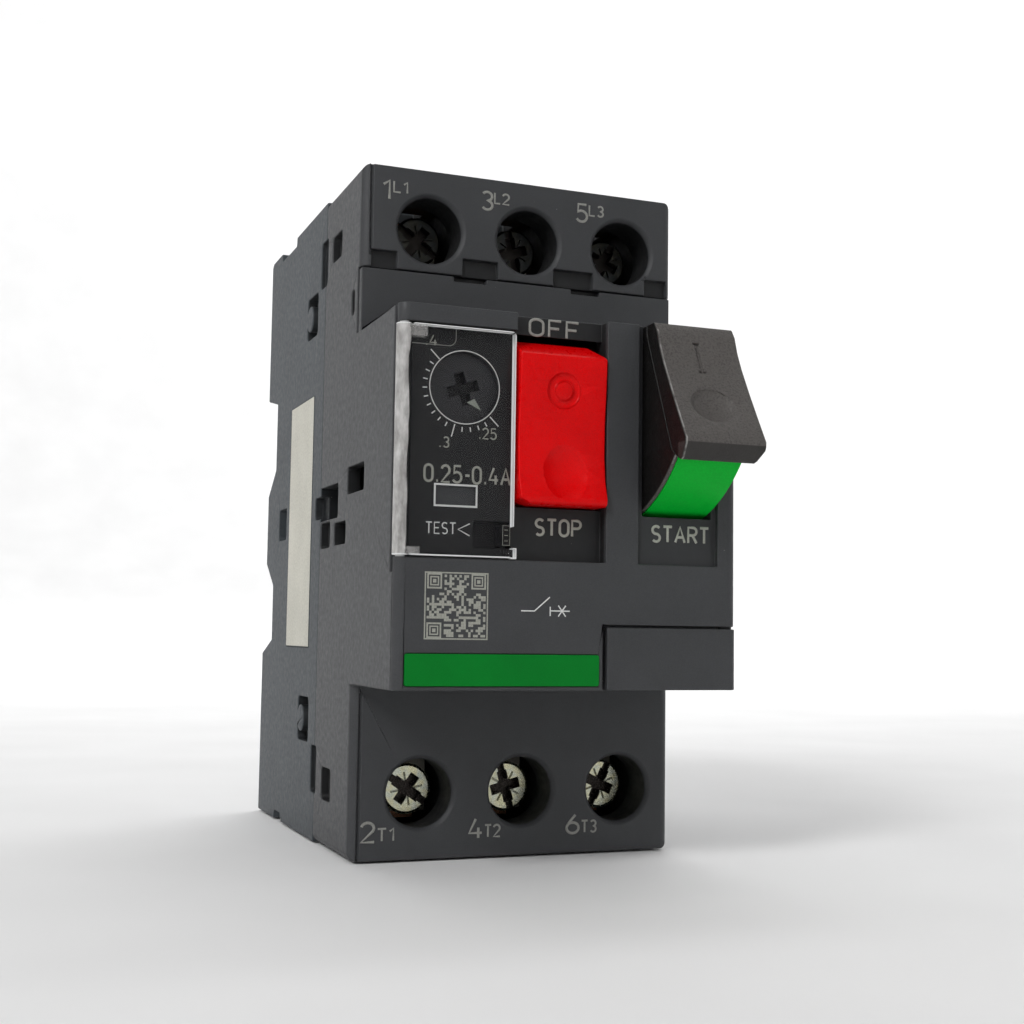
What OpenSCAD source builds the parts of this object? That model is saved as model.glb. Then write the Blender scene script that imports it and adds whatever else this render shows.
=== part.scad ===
// Three-pole motor protection breaker for a 35 mm top-hat rail: rear base, main housing, front cover,
// buttons, setting dial, contact system, thermal and magnetic trips, screw terminals and rail clip.
// X runs to the right, Y from the front to the rail, Z up. The origin is the middle of the rail seat.

/* [Housing] */
// Overall width of the body
body_w = 44.5; // [44.5:0.1:45]
// Overall height of the body
body_h = 89; // [89:0.5:92]
// How far the nose stands out in front of the terminal faces
nose_depth = 18.25; // [18.25:0.05:18.4]
// Bottom edge of the nose above the bottom of the body
nose_bottom = 21.95;
// Top edge of the nose above the bottom of the body
nose_top = 66.95;
// Depth of the main housing behind the terminal faces, where the rear base starts
seam_y = 19; // [19:0.1:19.1]
// Depth of the back plane behind the terminal faces
back_y = 57; // [57:0.1:58]
// Radius of the upright front edges
edge_r = 1.3; // [0.6:0.1:1.6]

/* [Rail] */
// Depth of the rail seat behind the terminal faces
seat_y = 50;
// Height of the rail's middle above the bottom of the body
rail_z = 45;
// Width of the rail over its two lips
rail_w = 35;
// Downward travel of the rail clip
clip_travel = 3; // [2.4:0.1:3]

/* [Poles] */
// Distance between neighbouring poles
pole_pitch = 13.8; // [13.7:0.05:13.8]
// Sideways offset of the middle pole
pole_shift = 0.8;
// Half of the inner width of one pole's chamber
cell_half = 5.85; // [5.75:0.05:5.85]

/* [Terminals] */
// Height of the line side screws
line_z = 81.1;
// Height of the load side screws
load_z = 8.25;
// Radius of the screwdriver access holes
access_r = 4.35; // [4:0.05:4.4]
// Radius of a terminal screw's head
head_r = 3.3; // [3:0.1:3.4]
// Radius of a terminal screw's shank, M4
shank_r = 1.95;
// Closing travel of a terminal clamp
clamp_travel = 3.2;

/* [Contacts] */
// Travel of the contact carrier between OFF and ON
carrier_travel = 4;
// Contact gap left when the carrier is fully home
closed_gap = 0.1; // [0.05:0.05:0.2]
// Number of splitter plates in one arc chute
splitters = 7; // [5:1:7]
// Number of turns drawn on each trip coil
coil_turns = 8; // [5:1:10]

/* [Controls] */
// Radius of the current setting dial
dial_r = 4.3; // [4:0.1:4.3]
// Eccentricity of the cam behind the dial
cam_offset = 0.8; // [0.5:0.1:0.8]
// Thickness of the clear cover
clear_t = 1.05; // [0.9:0.05:1.05]

/* [View] */
// Sub-part to draw

/* [Hidden] */

grey = [0.27, 0.28, 0.29];
base_grey = [0.36, 0.38, 0.40];
black = [0.08, 0.08, 0.08];
red = [0.80, 0.05, 0.08];
green = [0.02, 0.50, 0.18];
steel = [0.62, 0.62, 0.64];
zinc = [0.78, 0.76, 0.68];
copper = [0.78, 0.46, 0.28];
brass = [0.80, 0.66, 0.35];
ivory = [0.80, 0.78, 0.70];
fibre = [0.62, 0.45, 0.28];

eps = 0.01;
round_fn = 64;
small_fn = 32;
side = body_w / 2;
wall = 1.8;
inner = side - wall;
front_y = -nose_depth;
// Front end of the main housing's nose walls, behind the front cover's plate
nose_wall_y = front_y + 1.25;
// Back of the front cover's inner plate
plate_back = front_y + 3.45;
// Floor of the area under the clear cover
dial_floor = front_y + 1.65;
// Floor of the recess around the STOP button
stop_floor = front_y + 1.8;
start_floor = front_y + 0.6;
// Horizontal walls of the main housing above and below the mechanism room
room_bottom = 23;
room_top = 74.8;
chamber_front = 5.6;
corner_r = 1.2;
skirt_top = 75.3;
// Button pivots, given as depth and height
start_p = [-9.5, 64.5];
stop_p = [-9.5, 60.5];
toggle_p = [8, 66.5];
pin_r = 0.9;
hub_r = 2.1;
running = 0.05;
flag_r = 22;
flag_t = 1.2;
flag_gap = 0.75;
cheek_x = 10.05;
dial_x = -13.65;
dial_z = 57.6;
cam_r = 2.5;
// Upper lip of the rail
lip_z = rail_z + rail_w / 2;
// Screw and clamp depths
head_y = 6;
head_t = 2;
tab_y = 13.4;
tab_t = 1.2;
wire_gap = clamp_travel + 1.4;
wire_back = tab_y + tab_t + wire_gap;
clamp_wall = 1.5;
clamp_half = 4.2;
clamp_h = 7;
// Fixed contact bars stand just behind the main housing
bar_y = 19.6;
bar_half = 2.25;
tip_r = 1.6;
tip_t = 0.8;
upper_tip_z = 66;
lower_tip_z = 52;
bridge_y = bar_y + tab_t + 2 * tip_t + carrier_travel + closed_gap;
carrier_y = bridge_y + tab_t + 3.3;
carrier_z = 59;
coil_z = 29;
coil_y = 24;
coil_len = 17;

function pole_x(k) = pole_shift + (k - 1) * pole_pitch;

// Moves the body's own coordinates, measured from its bottom front, to the rail seat.
module at_home() {
    translate([0, -seat_y, -rail_z]) children();
}

// A box between two corners.
module bar(a, b) {
    translate(a) cube(b - a);
}

// A depth and height outline drawn across the width.
module across(x0, x1) {
    translate([x0, 0, 0]) rotate([90, 0, 90]) linear_extrude(x1 - x0) children();
}

// A front outline drawn through the depth.
module through(y0, y1) {
    translate([0, y1, 0]) rotate([90, 0, 0]) linear_extrude(y1 - y0) children();
}

module rod_x(p, x0, x1, r) {
    translate([x0, p[0], p[1]]) rotate([0, 90, 0]) cylinder(h = x1 - x0, r = r, $fn = round_fn);
}

module rod_y(x, z, y0, y1, r) {
    translate([x, y0, z]) rotate([-90, 0, 0]) cylinder(h = y1 - y0, r = r, $fn = round_fn);
}

module rod_z(x, y, z0, z1, r) {
    translate([x, y, z0]) cylinder(h = z1 - z0, r = r, $fn = round_fn);
}

// A rectangle between two corners with rounded corners.
module soft_rect(a, b, r) {
    translate([a[0] + r, a[1]]) square([b[0] - a[0] - 2 * r, b[1] - a[1]]);
    translate([a[0], a[1] + r]) square([b[0] - a[0], b[1] - a[1] - 2 * r]);
    for (u = [a[0] + r, b[0] - r])
        for (v = [a[1] + r, b[1] - r])
            translate([u, v]) circle(r, $fn = small_fn);
}

// A helical spring standing on its first end; its section is cut by a level plane.
module spring(r, wire, turns, h) {
    spread = 720 * wire * turns / h;
    steps = 4;
    linear_extrude(height = h, twist = -360 * turns, slices = turns * 8)
        polygon([for (i = [0:2 * steps + 1])
            let (j = min(i, 2 * steps + 1 - i), rad = i > steps ? r - wire : r + wire)
            [rad * cos(spread * j / steps), rad * sin(spread * j / steps)]]);
}

// Slots moulded in both side faces, with the round boss of the snap hook inside.
module snap_slot(y0, y1, z0, z1, depth) {
    for (s = [-1, 1])
        difference() {
            across(s * side - depth, s * side + depth) soft_rect([y0, z0], [y1, z1], 0.8);
            rod_x([y1 - 1.6, (z0 + z1) / 2], s * side - depth - eps, s * side + depth + eps, 1.9);
        }
}

module side_slot(y0, y1, z0, z1, depth) {
    for (s = [-1, 1])
        across(s * side - depth, s * side + depth) soft_rect([y0, z0], [y1, z1], 0.7);
}

// ---- Housing ----

module rear_base() color(base_grey) at_home() {
    difference() {
        across(-side, side) polygon([[seam_y, 0], [back_y, 0], [back_y, 25], [seat_y, 27.2], [seat_y, 35.6],
            [55.4, 39.2], [55.4, 50.2], [seat_y, 54.1], [seat_y, 64.6], [back_y, 66], [back_y, body_h - 0.6],
            [back_y - 0.8, body_h], [49.5, body_h], [49, body_h - 1.3], [39, body_h - 1.3],
            [38.7, body_h], [seam_y, body_h]]);
        for (k = [0:2]) {
            x0 = pole_x(k) - cell_half;
            x1 = pole_x(k) + cell_half;
            bar([x0, seam_y - 1, 67], [x1, back_y - wall, body_h - wall]);
            bar([x0, seam_y - 1, wall], [x1, 48, 67 + eps]);
            for (z = [-1, body_h - wall - 1])
                bar([pole_x(k) - 3.4, seam_y - 1, z], [pole_x(k) + 3.4, wire_back, z + wall + 2]);
        }
        // The carrier runs across all three chambers.
        bar([pole_x(0) - cell_half, seam_y - 1, 54.6], [pole_x(2) + cell_half, 38, 63.4]);
        // Channel and side grooves of the rail clip.
        bar([-9.3, seat_y + 1, -1], [9.3, back_y + 1, 31]);
        bar([-10.8, 52.2, -1], [10.8, 53.8, 31]);
        for (x = [-16.5, 16.5])
            bar([x - 3, seat_y + 1.2, 4], [x + 3, back_y + 1, 20]);
        // Material saving pockets above the rail.
        for (x = [-13.5, 0, 13.5])
            bar([x - 5, back_y - 0.8, 70], [x + 5, back_y + 1, 84]);
        snap_slot(23.5, 30, 71, 77.2, 1.4);
        snap_slot(23.4, 30, 13.1, 19.3, 1.4);
        side_slot(seam_y - 3, 22, 77, 83.7, 0.7);
        side_slot(seam_y - 3, 21.3, 6.5, 12.9, 0.7);
        side_slot(seam_y - 3, 22.2, 44.1, 47.2, 1.2);
        side_slot(41.1, 46.4, 42.5, 47.3, 1.2);
        side_slot(40, 45, -2, 1.2, 0.8);
        bar([-side - 1, 24.3, 26.3], [-side + 0.1, 39, 62.2]);
    }
    // Fixed hooks over the rail's upper lip.
    for (x = [-13, 13])
        across(x - 4, x + 4) translate([0, lip_z]) polygon([[seat_y - 0.5, 1.1], [back_y, 3.9],
            [back_y, -0.2], [55.5, -1.9], [51.5, -1.9], [51.5, 0.9], [seat_y - 0.5, 0.9]]);
    // Spring post inside the rail clip's window.
    bar([-1.8, seat_y - 0.5, 8], [1.8, 54.2, 9.6]);
}

module main_housing() color(grey) at_home() {
    difference() {
        union() {
            difference() {
                union() {
                    linear_extrude(body_h) soft_rect([-side, 0], [side, seam_y - 2], edge_r);
                    bar([-side, edge_r, 0], [side, seam_y, body_h]);
                    bar([-side, nose_wall_y, nose_bottom], [side, edge_r, nose_top]);
                }
                // Mechanism room, open to the front cover.
                bar([-inner, nose_wall_y - 1, room_bottom], [inner, 1.8 + eps, nose_top + 1]);
                bar([-inner, 1.8, room_bottom], [inner, seam_y + 1, room_top]);
                // Seat of the front cover's skirt.
                bar([-side - 1, -1, nose_top - eps], [side + 1, 1.5, skirt_top + 0.2]);
                // Room for the clear cover's hinge barrel.
                bar([-side - 1, nose_wall_y - 1, 35.6], [-19.9, front_y + 2.3, nose_top + 1]);
            }
            // Wall in front of the contact chambers.
            bar([-inner - eps, 17.2, 44], [inner + eps, seam_y, room_top + eps]);
            // Ears of the toggle pin.
            for (x = [-11, 11.6])
                bar([x, 5.6, 64], [x + 1.4, 17.2 + eps, 69]);
            // Shelf and post of the latch.
            bar([10.5, 6.5, 43.4], [inner + eps, 17.2 + eps, 44.8]);
            rod_z(15, 9.5, 44.7, 48.4, 1);
        }
        // Rounded corners, above and below.
        for (s = [-1, 1], t = [-1, 1])
            through(-1, seam_y + 1)
                translate([s * (side - corner_r), body_h / 2 + t * (body_h / 2 - corner_r)]) difference() {
                    translate([s, t] * (corner_r + 1) / 2) square(corner_r + 1, center = true);
                    circle(corner_r, $fn = small_fn);
                }
        for (k = [0:2]) {
            terminal_room(pole_x(k), line_z, 76.2, body_h - 1.6);
            terminal_room(pole_x(k), load_z, 1.6, 20.6);
            for (z = [-1, body_h - 2.6])
                bar([pole_x(k) - 3.4, tab_y + tab_t + 0.3, z], [pole_x(k) + 3.4, seam_y + 1, z + 3.6]);
            // Passage of the load terminal into the mechanism room.
            bar([pole_x(k) - 2.4, tab_y - 0.2, 20], [pole_x(k) + 2.4, tab_y + tab_t + 0.2, room_bottom + 1]);
        }
        // Passages of the carrier's stems.
        for (x = stem_x)
            bar([x - 0.2, 16, 56.6], [x + 1.6, seam_y + 1, 61.4]);
        rod_x(toggle_p, -12, 14, pin_r);
        // Ledges under the line terminal plate.
        for (x = [[-20.9, -17.45], [-8.5, -3.5], [4.5, 10.3], [18.1, 21.5]])
            bar([x[0], -1, skirt_top], [x[1], 0.8, 77.8]);
        for (z = [-1, 77])
            bar([-21.15, -1, z], [-20.85, 0.3, z == -1 ? 21 : body_h + 1]);
        side_slot(10.3, 15.5, 79.3, 82.9, 1.2);
        side_slot(9.9, 14.9, 6.2, 10.5, 1.2);
        side_slot(seam_y - 0.9, seam_y + 2, 77, 83.7, 0.7);
        side_slot(seam_y - 0.9, seam_y + 2, 6.5, 12.9, 0.7);
        side_slot(3, 4.5, 69.7, 73.1, 1);
        // Openings for side mounted accessories.
        across(-side - 1, -inner + 1) soft_rect([-3.6, 46.3], [4.5, 49.8], 0.5);
        across(-side - 1, -inner + 1) soft_rect([9.3, 43.7], [seam_y + 2, 48.3], 0.5);
        across(-side - 1, -side + 1.2) soft_rect([13.3, 39.9], [18.6, 43.4], 0.5);
        across(-side - 1, -inner + 1) soft_rect([5, 40], [11, 43], 0.5);
    }
}

stem_x = [-6.8, 6.95];

// One terminal's chamber with its access hole.
module terminal_room(x, z, z0, z1) {
    bar([x - 5, chamber_front, z0], [x + 5, seam_y + 1, z1]);
    rod_y(x, z, -1, chamber_front + 1, access_r);
    translate([x, -eps, z]) rotate([-90, 0, 0])
        cylinder(h = 0.5, r1 = access_r + 0.5, r2 = access_r, $fn = round_fn);
}

module front_cover() color(grey) at_home() {
    difference() {
        union() {
            // Front plate with softened upright edges.
            translate([0, 0, nose_bottom]) linear_extrude(nose_top - nose_bottom) {
                soft_rect([-side, front_y], [side, nose_wall_y + 2], 1.2);
            }
            bar([-inner + 0.15, nose_wall_y, room_bottom + 0.15], [inner - 0.15, plate_back, nose_top]);
            // Top wall and skirt.
            bar([-inner + 0.15, plate_back - 1, nose_top - 1.45], [inner - 0.15, 1.4, nose_top]);
            bar([-side + 0.15, 0, nose_top], [side - 0.35, 1.4, skirt_top]);
        }
        // The plate stops at the nose walls.
        for (x = [-side - 1, inner - 0.15])
            bar([x, nose_wall_y, 20], [x + wall + 1.15, -8, 68]);
        bar([-30, nose_wall_y, 20], [30, -5, room_bottom + 0.15]);
        // Notches in the skirt's top edge.
        for (x = [[-9.7, -5.05], [7.04, 11.3]])
            bar([x[0], -1, skirt_top - 0.65], [x[1], 2, skirt_top + 1]);
        // Area under the clear cover.
        bar([-20.4, front_y - 1, 37.3], [-7.6, dial_floor, 64.75]);
        bar([-side - 1, front_y - 1, 37.3], [-20.3, nose_wall_y + 1.2, 64.75]);
        for (z = [36.2, 64.7])
            rod_z(hinge_x, hinge_y, z, z + 1.15, 0.6);
        rod_y(dial_x, dial_z, -20, plate_back + 1, dial_r + 0.12);
        bar([-17.2, -20, 43.4], [-11.9, dial_floor + 0.4, 45.9]);
        bar([-12.25, -20, 38.7], [-7.6, plate_back + 1, 41.85]);
        // Recess and window of the STOP button.
        bar([-7.6, front_y - 1, 37.3], [4.2, stop_floor, nose_top + 1]);
        across(-7.6, 4.2) polygon([[front_y - 1, 43.8], [front_y - 1, 64.6], [stop_floor, 64.6],
            [plate_back - 0.2, 65.4], [plate_back + 1, 65.4], [plate_back + 1, 43.8]]);
        // Recess and slot of the START button.
        bar([8.55, front_y - 1, 37.3], [19.5, start_floor, nose_top + 1]);
        across(9.3, 17.9) intersection() {
            translate(start_p) circle(flag_r + flag_gap, $fn = 2 * round_fn);
            translate([-20, 40]) square([13.6, 30]);
        }
        across(17.8, 18.85) intersection() {
            translate(start_p) circle(flag_r + flag_gap, $fn = 2 * round_fn);
            translate([-20, 40]) square([13.6, 10.9]);
        }
        // Auxiliary contact bay behind the blanking cover.
        bar([3.9, front_y - 1, 20], [side + 1, nose_wall_y, 29.85]);
        bar([5.4, front_y - 1, 23.6], [19.4, plate_back + 1, 29]);
        // Pocket of the identification stripe.
        through(front_y - 1, front_y + 0.2) soft_rect([-21, 22.45], [3.4, 26.25], 0.3);
    }
    // Lugs of the two button pins.
    for (x = [-8.8, 4.35])
        lug(x, x + 1.25, stop_p);
    for (x = [8.15, 17.95])
        lug(x, x + 1.1, start_p);
}

// A bearing lug reaching back from the front plate.
module lug(x0, x1, p) {
    difference() {
        across(x0, x1) union() {
            translate([plate_back - 1.2, p[1] - 2.4]) square([p[0] - plate_back + 1.2, 4.8]);
            translate(p) circle(2.4, $fn = small_fn);
        }
        rod_x(p, x0 - 1, x1 + 1, pin_r);
    }
}

module blanking_cover() color(grey) at_home() {
    difference() {
        translate([0, 0, 22]) linear_extrude(7.55) {
            translate([4.5, front_y]) square([10, 1.15]);
            soft_rect([9, front_y], [side + 0.05, nose_wall_y + 1], 1);
        }
        bar([0, nose_wall_y - 0.1, 20], [30, -5, 31]);
    }
    // Snap legs.
    for (x = [5.7, 17.5])
        bar([x, nose_wall_y - 0.5, 24.6], [x + 1.6, -11, 28.2]);
}

hinge_x = -21.45;
hinge_y = front_y + 0.95;
barrel_r = 0.95;

// Clear flap over the dial, hinged on the left.
module clear_cover() color([0.85, 0.92, 0.95, 0.35]) at_home() {
    z0 = 37.5;
    z1 = 64.55;
    difference() {
        union() {
            through(front_y - 0.1, front_y - 0.1 + clear_t) soft_rect([-20.9, z0], [-7.8, z1], 0.6);
            bar([hinge_x, front_y - 0.1, z0 + 0.6], [-20, front_y + 0.75, z1 - 0.6]);
            rod_z(hinge_x, hinge_y, z0, z1, barrel_r);
            for (z = [36.5, z1])
                rod_z(hinge_x, hinge_y, z, z + 1, 0.55);
            // Thumb tab.
            bar([-8.2, front_y - 0.1, z0 - 0.1], [-7.45, front_y + 0.8, 38.7]);
        }
        // Finger notch above the tab.
        through(front_y - 1, front_y + 2) soft_rect([-9.2, 38.7], [-7, 41.2], 0.5);
    }
    // Rim that stands on the dial area.
    for (z = [z0 + 0.3, z1 - 1.1])
        bar([-20, front_y + 0.8, z], [-9.4, dial_floor - 0.1, z + 0.8]);
}

module side_label() color(ivory) at_home() {
    bar([-side - 0.05, 24.4, 26.4], [-side + 0.1, 38.9, 62.1]);
}

module id_stripe() color(green) at_home() {
    through(front_y - 0.1, front_y + 0.2) soft_rect([-20.94, 22.5], [3.36, 26.2], 0.3);
}

// ---- Controls ----

module setting_dial() color(black) at_home() {
    dial_front = front_y + 2.3;
    difference() {
        union() {
            rod_y(dial_x, dial_z, dial_front, plate_back + 0.1, dial_r);
            rod_y(dial_x, dial_z, plate_back + 0.05, plate_back + 0.9, dial_r + 0.3);
            rod_y(dial_x, dial_z, plate_back + 0.8, -9, 1.6);
            rod_y(dial_x, dial_z + cam_offset, -11, -9, cam_r);
        }
        // Cross slot.
        translate([dial_x, dial_front, dial_z]) rotate([0, -17, 0])
            for (a = [0, 90])
                rotate([0, a, 0]) bar([-2, -1, -0.62], [2, 1.5, 0.62]);
    }
}

module setting_slide() color(black) at_home() {
    top = dial_z - (cam_r - cam_offset) - 0.35;
    difference() {
        bar([-17, -11.2, 44.6], [-11.4, -9.2, top]);
        bar([-15.2, -12, 46], [-13.2, -8, 51]);
    }
    bar([-13.4, -9.25, 44.6], [-11.4, 2, 46]);
}

module start_button() color(black) at_home() {
    difference() {
        union() {
            // Wide cap with a hollowed face.
            across(9.4, 20.3) polygon([[front_y - 0.2, 66.9], [-20.3, 66.9], [-21.1, 65.7], [-21.75, 63.7],
                [-22.8, 61.5], [-24.8, 58], [-27, 54.4], [-28.65, 51.75], [-28.6, 51.1], [-27.8, 49.5],
                [-27.3, 49.25], [-25.3, 50.6], [front_y - 0.25, 65.5]]);
            // Neck inside the slot.
            across(9.45, 17.75) union() {
                intersection() {
                    translate(start_p) circle(flag_r - flag_t, $fn = 2 * round_fn);
                    polygon([[-12.6, 40], [-12.6, 57], [-7.6, 62.4], [-7.6, 66.6], [-16.7, 66.9],
                        [-19.6, 66.9], [-26.8, 52], [-27.6, 40]]);
                }
                translate(start_p) circle(hub_r, $fn = small_fn);
            }
            // Cheek over the flag's left edge.
            across(9.45, cheek_x) intersection() {
                translate(start_p) circle(flag_r - 0.1, $fn = 2 * round_fn);
                polygon([[-12.6, 40], [-12.6, 46], [-20, 52], [-25.4, 50.8], [-27.3, 49.35], [-27.5, 40]]);
            }
            // Tail that lifts the toggle lever.
            across(9.7, 11.3)
                polygon([[-11, 65], [-8, 64.4], [-0.3, 58.2], [-0.3, 57], [-2, 57], [-11.5, 62]]);
        }
        rod_x(start_p, 8, 20, pin_r + running);
        // Finger dimple, cut lower corner and the "I" mark.
        translate([14.7, -26.25, 56.4]) rotate([-31, 0, 0]) scale([1.05, 0.5, 0.9])
            sphere(r = 3, $fn = round_fn);
        through(-32, -24) polygon([[19.2, 49], [20.45, 50.95], [21, 50.95], [21, 48], [19.2, 48]]);
        translate([14.6, -22.35, 62.55]) rotate([-25.5, 0, 0]) {
            bar([-0.22, -1, -2.27], [0.22, 0.4, 2.27]);
            for (z = [-2.27, 1.97])
                bar([-0.5, -1, z], [0.5, 0.4, z + 0.3]);
        }
    }
}

module start_flag() color(green) at_home() {
    across(cheek_x, 18.65) intersection() {
        difference() {
            translate(start_p) circle(flag_r, $fn = 2 * round_fn);
            translate(start_p) circle(flag_r - flag_t, $fn = 2 * round_fn);
        }
        polygon([[-12.6, 40], [-12.6, 46], [-20, 49.9], [-25.45, 50.3], [-27, 49.25], [-27.5, 48.4],
            [-26, 40]]);
    }
}

module start_pin() color(steel) at_home() {
    rod_x(start_p, 8.15, 19.05, pin_r);
}

module stop_button() color(red) at_home() {
    difference() {
        union() {
            across(-7.35, 3.95) polygon([[-14.6, 64], [-16, 63.85], [-18.9, 62.05], [-18.75, 59],
                [-18.3, 54], [-18.25, 50], [-18.6, 47], [-19.3, 44.9], [-19.2, 44.2], [-18.7, 43.95],
                [-12.5, 43.95], [-12.5, 56], [-7.4, 59.5], [-7.4, 61.5], [-10, 63.3]]);
        }
        rod_x(stop_p, -8, 5, pin_r + running);
        // Raised ring is left by a round cut, and the finger dimple.
        translate([-1.3, -23.6, 48.8]) sphere(r = 6, $fn = round_fn);
        translate([-1.65, -18.45, 57.85]) rotate([5.1, 0, 0]) difference() {
            rod_y(0, 0, -1.5, 0, 2.1);
            rod_y(0, 0, -2.5, 1.5, 1.2);
        }
        // Cut corners.
        through(-25, -14) polygon([[2.3, 64.1], [4.05, 62.3], [5, 62.3], [5, 65], [2.3, 65]]);
        through(-25, -14) polygon([[-7.6, 44.7], [-5.6, 43.9], [-5.6, 43], [-7.6, 43]]);
    }
}

module stop_pin() color(steel) at_home() {
    rod_x(stop_p, -8.8, 5.6, pin_r);
}

module toggle_lever() color(steel) at_home() {
    difference() {
        union() {
            rod_x(toggle_p, -5, 11.3, hub_r);
            across(-4, 5.5) polygon([[7, 57.4], [8.4, 57.4], [9.4, 66], [6.4, 66]]);
            across(9.8, 11.2) polygon([[6.4, 67.2], [1.8, 61.6], [0.3, 60.7], [0.9, 59.9], [8.6, 64.6]]);
        }
        rod_x(toggle_p, -6, 12, pin_r + running);
    }
}

module toggle_pin() color(steel) at_home() {
    rod_x(toggle_p, -11, 13, pin_r);
}

module latch_lever() color(steel) at_home() {
    difference() {
        union() {
            rod_z(15, 9.5, 45.2, 47.4, 2.4);
            translate([0, 0, 45.2]) linear_extrude(1.6)
                polygon([[13.2, 8.9], [16.8, 8.9], [13.6, -2.6], [11.9, -2.4]]);
            translate([0, 0, 45.2]) linear_extrude(1.6)
                polygon([[13, 9.9], [15.8, 11.6], [9, 15.6], [8.2, 13.8]]);
        }
        rod_z(15, 9.5, 44, 49, 1 + running);
    }
}

module trip_bar() color(ivory) at_home() {
    bar([-18.3, 4.6, 39.2], [18.6, 7.2, 42.2]);
    for (k = [0:2])
        bar([pole_x(k) - 0.2, 7, 39.8], [pole_x(k) + 0.9, 13, 41.8]);
}

module test_slider() color(black) at_home() {
    difference() {
        bar([-8.8, front_y + 1.3, 39], [-7.75, plate_back + 0.2, 41.5]);
        for (z = [39.4, 40.1, 40.8])
            bar([-8.5, front_y, z], [-7, front_y + 1.6, z + 0.35]);
    }
    bar([-12.7, plate_back + 0.15, 37.6], [-7.2, plate_back + 1.4, 42.7]);
    bar([-9.8, plate_back + 1.3, 39.4], [-8.2, 4.4, 41.2]);
}

// ---- Contact system ----

module contact_carrier() color(black) at_home() {
    z0 = carrier_z - 2;
    z1 = carrier_z + 2;
    bar([pole_x(0) - 5.4, carrier_y, 56], [pole_x(2) + 5.4, carrier_y + 3.5, 62]);
    for (k = [0:2])
        difference() {
            bar([pole_x(k) - 3.4, bridge_y - 1.3, z0], [pole_x(k) + 3.4, carrier_y + eps, z1]);
            bar([pole_x(k) - 2.4, bridge_y - 0.2, z0 - 1], [pole_x(k) + 2.4, carrier_y, z1 + 1]);
        }
    for (x = stem_x)
        bar([x, 4.6, z0], [x + 1.4, carrier_y + eps, z1]);
    bar([stem_x[0], 4.5, z0], [stem_x[1] + 1.4, 6.5, z1]);
}

module bridge(k) color(copper) at_home() {
    bar([pole_x(k) - 2, bridge_y, 50], [pole_x(k) + 2, bridge_y + tab_t, 68]);
    for (z = [lower_tip_z, upper_tip_z])
        rod_y(pole_x(k), z, bridge_y - tip_t, bridge_y + eps, tip_r);
}

module contact_springs() color(steel) at_home() {
    for (k = [0:2])
        translate([pole_x(k), bridge_y + tab_t + 0.35, carrier_z]) rotate([-90, 0, 0])
            spring(1.6, 0.25, 3, 2.6);
}

module return_springs() color(steel) at_home() {
    for (x = [pole_x(0) - 4.6, pole_x(2) + 4.5])
        translate([x, seam_y + 0.3, carrier_z]) rotate([-90, 0, 0])
            spring(0.8, 0.22, 7, carrier_y - seam_y - 0.7);
}

// Fixed contact with its bar up to the line terminal.
module line_contact(k) color(copper) at_home() {
    x = pole_x(k);
    bar([x - 3.1, tab_y, 76.3], [x + 3.1, tab_y + tab_t, 85.4]);
    bar([x - bar_half, tab_y, 76.3], [x + bar_half, bar_y + tab_t, 77.3]);
    bar([x - bar_half, bar_y, 64], [x + bar_half, bar_y + tab_t, 77.3]);
    rod_y(x, upper_tip_z, bar_y + tab_t - eps, bar_y + tab_t + tip_t, tip_r);
}

// Fixed contact with its bar down to the trip coil.
module load_contact(k) color(copper) at_home() {
    x = pole_x(k);
    bar([x - bar_half, bar_y, 37], [x + bar_half, bar_y + tab_t, 54]);
    rod_y(x, lower_tip_z, bar_y + tab_t - eps, bar_y + tab_t + tip_t, tip_r);
}

// Splitter plates held by two fibre cheeks, above and below each pair of contacts.
module arc_chutes() color(fibre) at_home() {
    for (k = [0:2])
        for (z = [[69.2, 84], [38, 49]]) {
            for (s = [-1, 1])
                bar([pole_x(k) + s * 5.1 - 0.3, 22.6, z[0]], [pole_x(k) + s * 5.1 + 0.3, 35.2, z[1]]);
            for (i = [0:splitters - 1])
                translate([pole_x(k), 22.8 + i * 1.9, 0]) bar([-5, 0, z[0] + 0.5], [5, 0.8, z[1] - 0.5]);
        }
}

// ---- Trips ----

module trip_coil(k) color(copper) at_home() {
    x = pole_x(k);
    difference() {
        union() {
            rod_y(x, coil_z, coil_y, coil_y + coil_len, 4);
            for (y = [coil_y, coil_y + coil_len - 0.8])
                rod_y(x, coil_z, y, y + 0.8, 5.2);
            for (i = [0:coil_turns - 1])
                rod_y(x, coil_z, coil_y + 1.1 + i * (coil_len - 1.6) / coil_turns,
                    coil_y + 2.6 + i * (coil_len - 1.6) / coil_turns, 4.7);
        }
        rod_y(x, coil_z, coil_y - 1, coil_y + coil_len + 1, 2.28);
    }
}

module magnet_yokes() color(steel) at_home() {
    for (k = [0:2])
        difference() {
            bar([pole_x(k) - 4.6, coil_y - 1.3, 23.6], [pole_x(k) + 4.6, coil_y + coil_len + 1.3, 35.6]);
            bar([pole_x(k) - 6, coil_y - 0.1, 20], [pole_x(k) + 6, coil_y + coil_len + 0.1, 34.4]);
            rod_y(pole_x(k), coil_z, coil_y - 2, coil_y, 1.4);
        }
}

module plunger(k) color(zinc) at_home() {
    rod_y(pole_x(k), coil_z, coil_y + 4, coil_y + coil_len - 1, 2.2);
    rod_y(pole_x(k), coil_z, 16.6, coil_y + 4.1, 0.9);
}

module bimetal(k) color(brass) at_home() {
    x = pole_x(k);
    bar([x + 1.6, 9, room_bottom], [x + 2.4, 13, 42.9]);
    bar([x - 2, 9, room_bottom], [x + 2.4, tab_y, room_bottom + 1.2]);
}

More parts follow.
